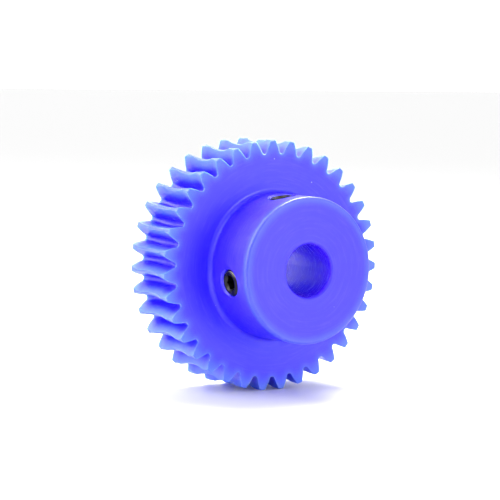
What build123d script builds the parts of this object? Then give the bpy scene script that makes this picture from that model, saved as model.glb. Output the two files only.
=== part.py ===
from build123d import *
import math
import os

# Worm wheel, module 1 with 35 teeth, machined in one piece with its hub, and two
# socket set screws at right angles in the hub.
# Lengths are millimetres. The origin is on the bore axis, in the middle of the
# toothed rim. The bore runs along Y and the hub points to -Y. +Z is up as the
# wheel stands on its teeth, with one gap straight down.

# Teeth
module = 1.0
tooth_count = 35
pressure_angle = math.radians(20)
tip_diameter = 38.0            # over the straight lands beside the throat
throat_diameter = 37.0         # over the tips in the middle of the rim
throat_radius = 9.0            # of the hollow that runs round the tips
face_width = 10.0
tip_edge = 0.12                # chamfer where the tips meet the faces

# The hob that cuts the gaps, shaped like a single-start worm lying across the wheel
hob_pitch_radius = 11.5
hob_infeed = 0.43              # how far it goes in past the nominal depth
hob_tip_height = 1.25 * module
gap_bottom_round = 0.4 * module
sections_per_gap = 7
points_per_flank = 7

# Hub and bore
hub_diameter = 22.0
hub_length = 10.0
hub_base_fillet = 0.75
hub_rim_round = 0.4
bore_diameter = 8.0
bore_edge = 0.25

# M4 set screws, with a hexagon socket and a cup point
thread_diameter = 4.0
thread_pitch = 0.7
thread_depth = 0.61 * thread_pitch
thread_start = 37.0            # degrees round the screw where its thread begins
crest_flat = 0.08              # width of a thread groove's flat bottom
screw_length = 5.0
screw_set_back = 0.1           # outer end below the hub's surface
screw_from_rim = hub_length / 2
screw_angles = {"set_screw_top": 100.0, "set_screw_side": 190.0}   # degrees, +X towards +Z
socket_width = 2.0             # across the flats
socket_depth = 2.0
socket_mouth = 2.7             # diameter of the countersink round the socket
outer_chamfer = 0.35
point_chamfer = 0.6
cup_diameter = 2.2

# Their tapped holes
tapping_clearance = 0.05       # between the screw's crests and the hole
tap_ring_depth = 0.2           # of the hole's thread past its clear width
mouth_bevel = 0.35             # countersink round the hole

pitch_radius = module * tooth_count / 2
base_radius = pitch_radius * math.cos(pressure_angle)
pitch_involute = math.tan(pressure_angle) - pressure_angle
tip_radius = tip_diameter / 2
half_width = face_width / 2
hub_radius = hub_diameter / 2
hub_end = half_width + hub_length
bore_radius = bore_diameter / 2
thread_radius = thread_diameter / 2
overcut = 0.3                  # cutters run past the metal by this much
slope_30 = math.tan(math.radians(30))
from_below = (Align.CENTER, Align.CENTER, Align.MIN)
from_above = (Align.CENTER, Align.CENTER, Align.MAX)

# Parts are drawn with the bore along Z and the hub towards +Z, then laid over.
wheel_plane = Plane(origin=(0, 0, 0), x_dir=(1, 0, 0), z_dir=(0, -1, 0))


def involute(radius):
    """Involute function at a radius. Inside the base circle the flank is radial."""
    angle = math.acos(min(1.0, base_radius / radius))
    return math.tan(angle) - angle


def polar(radius, angle):
    return (radius * math.cos(angle), radius * math.sin(angle))


def revolved(outline):
    return revolve(Plane.XZ * make_face(outline), Axis.Z)


def gap_section(height):
    """Outline of one tooth gap in the plane at this height above the rim's middle."""
    reach = math.sqrt(hob_pitch_radius ** 2 - height ** 2)
    shift = hob_pitch_radius - reach - hob_infeed
    half_tooth = (math.pi / 2 + 2 * shift * math.tan(pressure_angle)) / tooth_count
    turn = math.atan2(height, reach) / tooth_count
    root_radius = pitch_radius + shift - hob_tip_height
    low = root_radius + gap_bottom_round
    high = tip_radius + overcut

    def flank(side):
        points = []
        for step in range(points_per_flank):
            radius = low + (high - low) * step / (points_per_flank - 1)
            half_gap = math.pi / tooth_count - half_tooth - pitch_involute + involute(radius)
            points.append(polar(radius, turn + side * half_gap))
        return points

    right = flank(-1)
    left = flank(1)
    root = polar(root_radius, turn)
    outline = [
        Spline(right[::-1]),
        ThreePointArc(right[0], root, left[0]),
        Spline(left),
        Line(left[-1], right[-1]),
    ]
    return Plane.XY.offset(height) * make_face(outline)


def gap_cutter():
    """One gap, lofted across the rim. It leans because the hob's thread does."""
    end = half_width + overcut
    last = sections_per_gap - 1
    heights = [end * (2 * step / last - 1) for step in range(sections_per_gap)]
    return loft([gap_section(height) for height in heights])


def wheel_blank():
    """Turned blank: rim with the throat round it, hub, and bore."""
    corners = [
        (bore_radius + bore_edge, -half_width),
        (tip_radius - tip_edge, -half_width),
        (tip_radius, -half_width + tip_edge),
        (tip_radius, half_width - tip_edge),
        (tip_radius - tip_edge, half_width),
        (hub_radius, half_width),
        (hub_radius, hub_end),
        (bore_radius + bore_edge, hub_end),
        (bore_radius, hub_end - bore_edge),
        (bore_radius, -half_width + bore_edge),
    ]
    radii = [0, 0, 0, 0, 0, hub_base_fillet, hub_rim_round, 0, 0, 0]
    blank = revolved(FilletPolyline(corners, radius=radii, close=True))
    throat = Torus(throat_diameter / 2 + throat_radius, throat_radius)
    return blank - throat


def screw_location(angle):
    """Frame at the outer end of a set screw, with Z pointing out of the hub."""
    outward = polar(1, math.radians(angle))
    end = hub_radius - screw_set_back
    origin = (outward[0] * end, outward[1] * end, half_width + screw_from_rim)
    return Plane(origin=origin, x_dir=(0, 0, 1), z_dir=(*outward, 0)).location


def tapped_hole():
    """Cutter for one tapped hole, from inside the bore to outside the hub.

    Its thread is drawn as rings at the thread's pitch, cut outward from the clear hole."""
    radius = thread_radius + tapping_clearance
    ring_radius = radius + tap_ring_depth
    half_mouth = tap_ring_depth * slope_30 + crest_flat / 2
    bore_wall = screw_set_back - hub_radius + bore_radius
    ring_count = round((hub_radius - bore_radius) / thread_pitch) - 1
    profile = [(0, bore_wall - 1), (radius, bore_wall - 1)]
    for ring in range(ring_count):
        middle = bore_wall + (ring + 1) * thread_pitch
        profile += [
            (radius, middle - half_mouth),
            (ring_radius, middle - crest_flat / 2),
            (ring_radius, middle + crest_flat / 2),
            (radius, middle + half_mouth),
        ]
    flare_start = screw_set_back - mouth_bevel
    flare = mouth_bevel + 1
    profile += [
        (radius, flare_start),
        (radius + flare, flare_start + flare),
        (0, flare_start + flare),
    ]
    return revolved(Polyline(profile, close=True))


def worm_wheel():
    cutter = gap_cutter()
    cuts = [Rot(0, 0, -90 + tooth * 360 / tooth_count) * cutter for tooth in range(tooth_count)]
    cuts += [screw_location(angle) * tapped_hole() for angle in screw_angles.values()]
    return wheel_blank() - cuts


def screw_thread():
    """Helical groove round a set screw, running off both its ends."""
    half_bottom = crest_flat / 2
    half_mouth = half_bottom + thread_depth * slope_30
    lip = 0.02
    v_shape = Polyline(
        (lip, half_mouth), (-thread_depth, half_bottom), (-thread_depth, -half_bottom),
        (lip, -half_mouth), close=True,
    )
    start = Plane(origin=(thread_radius, 0, 0), x_dir=(1, 0, 0), z_dir=(0, -1, 0))
    path = Helix(thread_pitch, screw_length + thread_pitch, thread_radius)
    groove = sweep(start * make_face(v_shape), path=path, is_frenet=True)
    return Pos(0, 0, -screw_length - thread_pitch / 2) * Rot(0, 0, thread_start) * groove


def set_screw():
    """One set screw. Its outer end is at the origin and faces +Z."""
    cup = cup_diameter / 2
    corners = [
        (0, 0),
        (thread_radius - outer_chamfer, 0),
        (thread_radius, -outer_chamfer),
        (thread_radius, -screw_length + point_chamfer),
        (thread_radius - point_chamfer, -screw_length),
        (cup, -screw_length),
        (0, -screw_length + cup * slope_30),
    ]
    body = revolved(Polyline(corners, close=True))
    half_socket = socket_width / 2
    hexagon = RegularPolygon(half_socket, 6, major_radius=False)
    socket = extrude(hexagon, amount=-socket_depth)
    drill_point = Pos(0, 0, -socket_depth) * Cone(
        0, half_socket, half_socket * slope_30, align=from_above
    )
    mouth = socket_mouth / 2
    lead_in = Cone(half_socket, mouth, mouth - half_socket, align=from_above)
    return body - screw_thread() - socket - drill_point - lead_in


os.makedirs("parts", exist_ok=True)
screw = set_screw()
pieces = {name: screw_location(angle) * screw for name, angle in screw_angles.items()}
pieces["worm_wheel"] = worm_wheel()
for name, piece in pieces.items():
    export_step(wheel_plane.location * piece, f"parts/{name}.step")
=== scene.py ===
"""Looks for the worm wheel: nylon and black steel materials, floor, studio light and camera."""
import math

import bpy
from mathutils import Matrix, Vector


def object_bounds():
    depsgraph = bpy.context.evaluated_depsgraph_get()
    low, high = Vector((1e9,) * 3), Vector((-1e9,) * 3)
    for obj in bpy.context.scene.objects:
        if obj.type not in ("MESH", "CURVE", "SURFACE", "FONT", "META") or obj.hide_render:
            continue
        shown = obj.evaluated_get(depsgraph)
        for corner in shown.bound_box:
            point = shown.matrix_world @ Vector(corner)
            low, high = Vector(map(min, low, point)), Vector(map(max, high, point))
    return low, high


MM = 0.001

# where the wheel's regions begin
BORE_RADIUS = 4.07 * MM         # inside this is the wall of the bore
RIM_FOOT_RADIUS = 13.0 * MM     # outside this is the toothed rim
HUB_EDGE_PLACE = -12.8 * MM     # beyond this, a glow of light through the edge of the hub's end is painted
HUB_EDGE_RADIUS = 6.0 * MM      # and only outside this radius

# name, place, size and power of each round soft box
SOFT_BOXES = [
    ("left_softbox", (-0.30, 0.10, 0.24), 0.45, 2.4),
    ("top_softbox", (0.14, 0.12, 0.34), 0.22, 4.0),
    ("front_softbox", (0.16, -0.40, 0.12), 0.25, 1.0),
]
# the surroundings are brightest in this direction
BRIGHT_SIDE = Vector((-0.3, 1.0, 0.2)).normalized()
DIM, BRIGHT = 0.65, 1.8

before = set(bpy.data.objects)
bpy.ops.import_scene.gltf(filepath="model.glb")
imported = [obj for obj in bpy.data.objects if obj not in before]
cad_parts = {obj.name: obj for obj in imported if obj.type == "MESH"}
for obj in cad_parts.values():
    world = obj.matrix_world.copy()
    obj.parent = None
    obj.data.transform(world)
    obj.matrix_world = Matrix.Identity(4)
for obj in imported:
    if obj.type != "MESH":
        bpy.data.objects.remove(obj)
cad_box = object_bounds()
floor_height = cad_box[0].z


# ---- node helpers ----

class Nodes:
    """A material's node tree, with short calls for the nodes used here."""

    def __init__(self, name):
        self.material = bpy.data.materials.new(name)
        self.material.use_nodes = True
        self.tree = self.material.node_tree
        self.shader = self.tree.nodes["Principled BSDF"]
        self.coords = self.tree.nodes.new("ShaderNodeTexCoord")

    def new(self, kind, values=None, **settings):
        node = self.tree.nodes.new("ShaderNode" + kind)
        for key, value in settings.items():
            setattr(node, key, value)
        for socket, value in (values or {}).items():
            self.put(node.inputs[socket], value)
        return node

    def put(self, socket, value):
        """A socket takes either a link from another socket or a plain value."""
        if isinstance(value, bpy.types.NodeSocket):
            self.tree.links.new(value, socket)
        else:
            socket.default_value = value

    def math(self, operation, first, second=0.0, third=0.0):
        node = self.new("Math", {0: first, 1: second, 2: third}, operation=operation)
        return node.outputs[0]

    def smooth(self, value, low, high, start=0.0, end=1.0):
        """Smooth step from start to end as value goes from low to high."""
        node = self.new("MapRange", {"Value": value, "From Min": low, "From Max": high,
                                     "To Min": start, "To Max": end},
                        interpolation_type="SMOOTHSTEP")
        return node.outputs[0]

    def ramp(self, value, low, high, start=0.0, end=1.0):
        node = self.new("MapRange", {"Value": value, "From Min": low, "From Max": high,
                                     "To Min": start, "To Max": end})
        return node.outputs[0]

    def mix(self, share, first, second):
        node = self.new("Mix", data_type="RGBA")
        self.put(node.inputs[0], share)
        self.put(node.inputs[6], first)
        self.put(node.inputs[7], second)
        return node.outputs[2]

    def mix_value(self, share, first, second):
        node = self.new("Mix", data_type="FLOAT")
        self.put(node.inputs[0], share)
        self.put(node.inputs[2], first)
        self.put(node.inputs[3], second)
        return node.outputs[0]

    def noise(self, scale, vector=None, detail=2.0, roughness=0.5):
        node = self.new("TexNoise", {"Scale": scale, "Detail": detail, "Roughness": roughness})
        self.put(node.inputs["Vector"], vector or self.coords.outputs["Object"])
        return node.outputs[0]

    def set(self, **values):
        for name, value in values.items():
            self.put(self.shader.inputs[name.replace("_", " ")], value)


def polar_coordinates(n):
    """Place, radius round the bore, and how far the surface faces along it, 0 to 1."""
    place = n.new("SeparateXYZ", {0: n.coords.outputs["Object"]})
    normal = n.new("SeparateXYZ", {0: n.coords.outputs["Normal"]})
    x, y, z = place.outputs
    radius = n.math("SQRT", n.math("MULTIPLY_ADD", x, x, n.math("MULTIPLY", z, z)))
    facing = n.smooth(n.math("ABSOLUTE", normal.outputs[1]), 0.8, 0.95)
    return place.outputs, radius, facing


# ---- materials ----

def edge_share(n, reach, threshold=0.97):
    """How near the surface is to a convex edge or a narrow place, 0 to 1."""
    inside = n.new("AmbientOcclusion", {"Distance": reach}, inside=True, samples=12)
    return n.ramp(inside.outputs["AO"], threshold, 0.05)


def blue_nylon():
    """Cast nylon: a glow of light through narrow places is painted into its colour, and the cutter
    leaves rings and hoops.
    """
    n = Nodes("blue_nylon")
    (across, along, up), radius, facing = polar_coordinates(n)
    in_bore = n.smooth(radius, BORE_RADIUS + 0.05 * MM, BORE_RADIUS - 0.05 * MM)

    body = (0.026, 0.009, 0.86, 1)
    # the bore is the same nylon as the body; its redder colour is a painted purple cast for the
    # sheen reflected along the bore wall
    bore = (0.062, 0.008, 0.86, 1)
    # painted glow colour, for light coming through the nylon
    painted_glow = (0.110, 0.235, 0.93, 1)
    scraped = (0.12, 0.085, 0.95, 1)
    pale_edge_fleck = (0.42, 0.42, 0.95, 1)

    # painted glow: a pale cyan colour stands in for light coming through the teeth and the edge of
    # the hub's end
    on_rim = n.smooth(radius, RIM_FOOT_RADIUS - 0.5 * MM, RIM_FOOT_RADIUS + 0.5 * MM)
    near_end = n.smooth(along, HUB_EDGE_PLACE + 0.6 * MM, HUB_EDGE_PLACE - 0.6 * MM)
    off_bore = n.smooth(radius, HUB_EDGE_RADIUS - MM, HUB_EDGE_RADIUS + MM)
    thinness = edge_share(n, 1.6 * MM, n.mix_value(on_rim, 0.97, 0.85))
    lets_light_in = n.math("MAXIMUM", on_rim, n.math("MULTIPLY", near_end, off_bore))
    painted_glow_share = n.math("MULTIPLY", thinness, lets_light_in)
    colour = n.mix(painted_glow_share, n.mix(in_bore, body, bore), painted_glow)

    # turning marks: broken rings on the faces, broken hoops on the hub and in the bore
    broken = 0.08
    ring_place = n.new("CombineXYZ", {0: n.mix_value(facing, along, radius),
                                      1: n.math("MULTIPLY", across, broken),
                                      2: n.math("MULTIPLY", up, broken)})
    feed = n.mix_value(in_bore, 2600, 7000)
    marks = n.noise(feed, ring_place.outputs[0], detail=3, roughness=0.7)
    blotches = n.noise(260, detail=3)
    marked = n.math("MULTIPLY", n.smooth(marks, 0.42, 0.75),
                    n.smooth(blotches, 0.35, 0.6, 0.08, 0.25))
    colour = n.mix(marked, colour, scraped)

    # pale flecks along the sharp edges, and a few pale specks of dust
    ragged = n.noise(1100, detail=4, roughness=0.65)
    edge_flecks = n.math("MULTIPLY", n.smooth(edge_share(n, 0.22 * MM), 0.3, 0.6),
                   n.smooth(ragged, 0.56, 0.66, 0.0, 0.8))
    dust = n.new("TexVoronoi", {"Scale": 420, "Randomness": 1.0})
    n.put(dust.inputs["Vector"], n.coords.outputs["Object"])
    chosen = n.new("SeparateColor", {0: dust.outputs["Color"]})
    specks = n.math("MULTIPLY", n.smooth(dust.outputs["Distance"], 0.055, 0.03),
                    n.math("GREATER_THAN", chosen.outputs[0], 0.75))
    pale = n.math("MAXIMUM", edge_flecks, n.math("MULTIPLY", specks, 0.6))
    colour = n.mix(pale, colour, pale_edge_fleck)

    # satin all over, duller on the thin edges of the teeth, shinier in the bore
    grain = n.noise(1800, detail=4, roughness=0.6)
    height = n.math("MULTIPLY_ADD", marks, n.mix_value(in_bore, 0.5, 0.8),
                    n.math("MULTIPLY", grain, 0.45))
    bump = n.new("Bump", {"Strength": 1.0, "Distance": 0.03 * MM, "Height": height})
    tooth_edge = n.math("MULTIPLY", painted_glow_share, on_rim)
    satin = n.mix_value(tooth_edge, n.smooth(grain, 0.3, 0.7, 0.32, 0.42), 0.60)
    reamed = n.smooth(marks, 0.35, 0.65, 0.16, 0.32)
    sheen = n.mix(in_bore, (1, 1, 1, 1), (0.92, 0.80, 1.0, 1))
    n.set(Base_Color=colour, Roughness=n.mix_value(in_bore, satin, reamed), IOR=1.53,
          Subsurface_Weight=1.0, Subsurface_Radius=(0.35, 0.7, 2.0), Subsurface_Scale=MM,
          Specular_Tint=sheen, Normal=bump.outputs[0])
    return n.material


def black_steel():
    """Black oxide, worn to bare steel along its edges."""
    n = Nodes("black_steel")
    oxide = (0.030, 0.028, 0.027, 1)
    bare = (0.30, 0.28, 0.25, 1)
    scratches = n.noise(1500, detail=5, roughness=0.7)
    worn = n.math("MULTIPLY", n.smooth(edge_share(n, 0.18 * MM), 0.25, 0.6),
                  n.smooth(scratches, 0.35, 0.6))
    bump = n.new("Bump", {"Strength": 0.6, "Distance": 0.015 * MM, "Height": scratches})
    n.set(Base_Color=n.mix(worn, oxide, bare), Metallic=1.0,
          Roughness=n.smooth(scratches, 0.3, 0.7, 0.28, 0.45), Normal=bump.outputs[0])
    return n.material


# ---- floor, light and camera ----

def plain_material(name, colour, roughness, ior):
    n = Nodes(name)
    n.set(Base_Color=colour, Roughness=roughness, IOR=ior)
    return n.material


def floor():
    half = 3.0
    mesh = bpy.data.meshes.new("floor")
    corners = [(x * half, y * half, floor_height) for x, y in [(-1, -1), (1, -1), (1, 1), (-1, 1)]]
    mesh.from_pydata(corners, [], [(0, 1, 2, 3)])
    obj = bpy.data.objects.new("floor", mesh)
    bpy.context.scene.collection.objects.link(obj)
    mesh.materials.append(plain_material("floor", (0.53, 0.53, 0.53, 1), 0.50, 2.5))


def area_light(name, place, size, power):
    """A round soft box aimed at the wheel."""
    light = bpy.data.lights.new(name, "AREA")
    light.shape = "DISK"
    light.size = size
    light.energy = power
    obj = bpy.data.objects.new(name, light)
    bpy.context.scene.collection.objects.link(obj)
    obj.visible_camera = False
    obj.location = place
    obj.rotation_euler = (-Vector(place)).to_track_quat("-Z", "Y").to_euler()


def studio():
    """White surroundings, brightest behind the wheel, with the soft boxes."""
    world = bpy.data.worlds.new("studio")
    bpy.context.scene.world = world
    world.use_nodes = True
    tree = world.node_tree
    background = tree.nodes["Background"]
    background.inputs["Color"].default_value = (1, 1, 1, 1)
    coords = tree.nodes.new("ShaderNodeTexCoord")
    towards = tree.nodes.new("ShaderNodeVectorMath")
    towards.operation = "DOT_PRODUCT"
    towards.inputs[1].default_value = BRIGHT_SIDE
    strength = tree.nodes.new("ShaderNodeMapRange")
    strength.interpolation_type = "SMOOTHSTEP"
    limits = {"From Min": -0.5, "From Max": 0.7, "To Min": DIM, "To Max": BRIGHT}
    for socket, value in limits.items():
        strength.inputs[socket].default_value = value
    tree.links.new(coords.outputs["Generated"], towards.inputs[0])
    tree.links.new(towards.outputs["Value"], strength.inputs["Value"])
    tree.links.new(strength.outputs[0], background.inputs["Strength"])
    for name, place, size, power in SOFT_BOXES:
        area_light(name, place, size, power)


def camera():
    """The wheel is seen from its hub side, a little from the left and from just above."""
    azimuth = math.radians(-32.2)
    elevation = math.radians(4.49)
    roll = math.radians(0.88)
    distance = 0.3733
    aim = Vector((-0.66, 0.50, 1.97)) * MM
    back = Vector((math.sin(azimuth) * math.cos(elevation),
                   -math.cos(azimuth) * math.cos(elevation), math.sin(elevation)))
    data = bpy.data.cameras.new("camera")
    data.sensor_width = 36
    data.lens = 175.4
    data.clip_start = 0.01
    obj = bpy.data.objects.new("camera", data)
    bpy.context.scene.collection.objects.link(obj)
    turn = (-back).to_track_quat("-Z", "Y").to_matrix().to_4x4()
    place = Matrix.Translation(aim + back * distance)
    obj.matrix_world = place @ turn @ Matrix.Rotation(roll, 4, "Z")
    bpy.context.scene.camera = obj


def dress(node, material):
    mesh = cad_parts[node].data
    mesh.materials.clear()
    mesh.materials.append(material)


dress("worm_wheel", blue_nylon())
steel = black_steel()
dress("set_screw_top", steel)
dress("set_screw_side", steel)
floor()
studio()
camera()
bpy.context.scene.view_settings.view_transform = "Standard"
